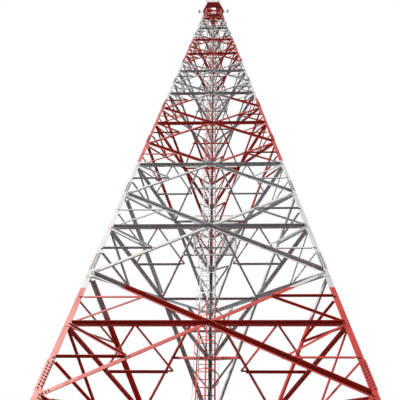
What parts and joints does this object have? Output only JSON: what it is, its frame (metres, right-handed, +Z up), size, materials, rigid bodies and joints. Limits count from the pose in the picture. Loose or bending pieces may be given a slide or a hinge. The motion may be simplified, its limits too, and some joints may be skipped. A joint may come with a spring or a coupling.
{
  "type": "half-scale three-legged lattice radio tower",
  "caption": "Half-scale model of a self-supporting steel lattice radio mast: three tapering legs, braced faces, caged ladder, rest platforms and a top deck with antennas.",
  "frame": {"origin": "middle of the underside of the back foot's base plate", "axes": "+Z up, the front face with the caged ladder behind it looks along -Y"},
  "size_m": [4.6256, 4.006, 37.2453],
  "materials": {
    "painted_steel": "satin, in red and white bands",
    "galvanised_steel": "dull zinc",
    "antenna_cover": "matt",
    "lamp": "clear red",
    "cable_sheath": "matt"
  },
  "bodies": {
    "root": {"base_plates": "galvanised_steel", "leg_back_lower": "painted_steel", "leg_back_middle": "painted_steel", "leg_back_upper": "painted_steel", "leg_left_lower": "painted_steel", "leg_left_middle": "painted_steel", "leg_left_upper": "painted_steel", "leg_right_lower": "painted_steel", "leg_right_middle": "painted_steel", "leg_right_upper": "painted_steel", "leg_splices": "painted_steel", "front_bracing_1": "painted_steel", "front_bracing_2": "painted_steel", "front_bracing_3": "painted_steel", "front_bracing_4": "painted_steel", "right_bracing_1": "painted_steel", "right_bracing_2": "painted_steel", "right_bracing_3": "painted_steel", "right_bracing_4": "painted_steel", "left_bracing_1": "painted_steel", "left_bracing_2": "painted_steel", "left_bracing_3": "painted_steel", "left_bracing_4": "painted_steel", "plan_bracing_lower": "painted_steel", "plan_bracing_middle": "painted_steel", "plan_bracing_upper": "painted_steel", "ladder_lower": "painted_steel", "ladder_middle": "painted_steel", "ladder_upper": "painted_steel", "ladder_top": "painted_steel", "ladder_beams": "painted_steel", "cage_lower": "painted_steel", "cage_middle": "painted_steel", "cage_upper": "painted_steel", "rest_platforms": "galvanised_steel", "rest_handrails": "painted_steel", "deck_frame": "painted_steel", "deck_floor": "painted_steel", "deck_handrail": "painted_steel", "antenna_mounts": "galvanised_steel", "panel_antennas": "antenna_cover", "lightning_rod": "galvanised_steel", "obstruction_lamp": "lamp", "feeder_cables": "cable_sheath"}
  },
  "joints": []
}
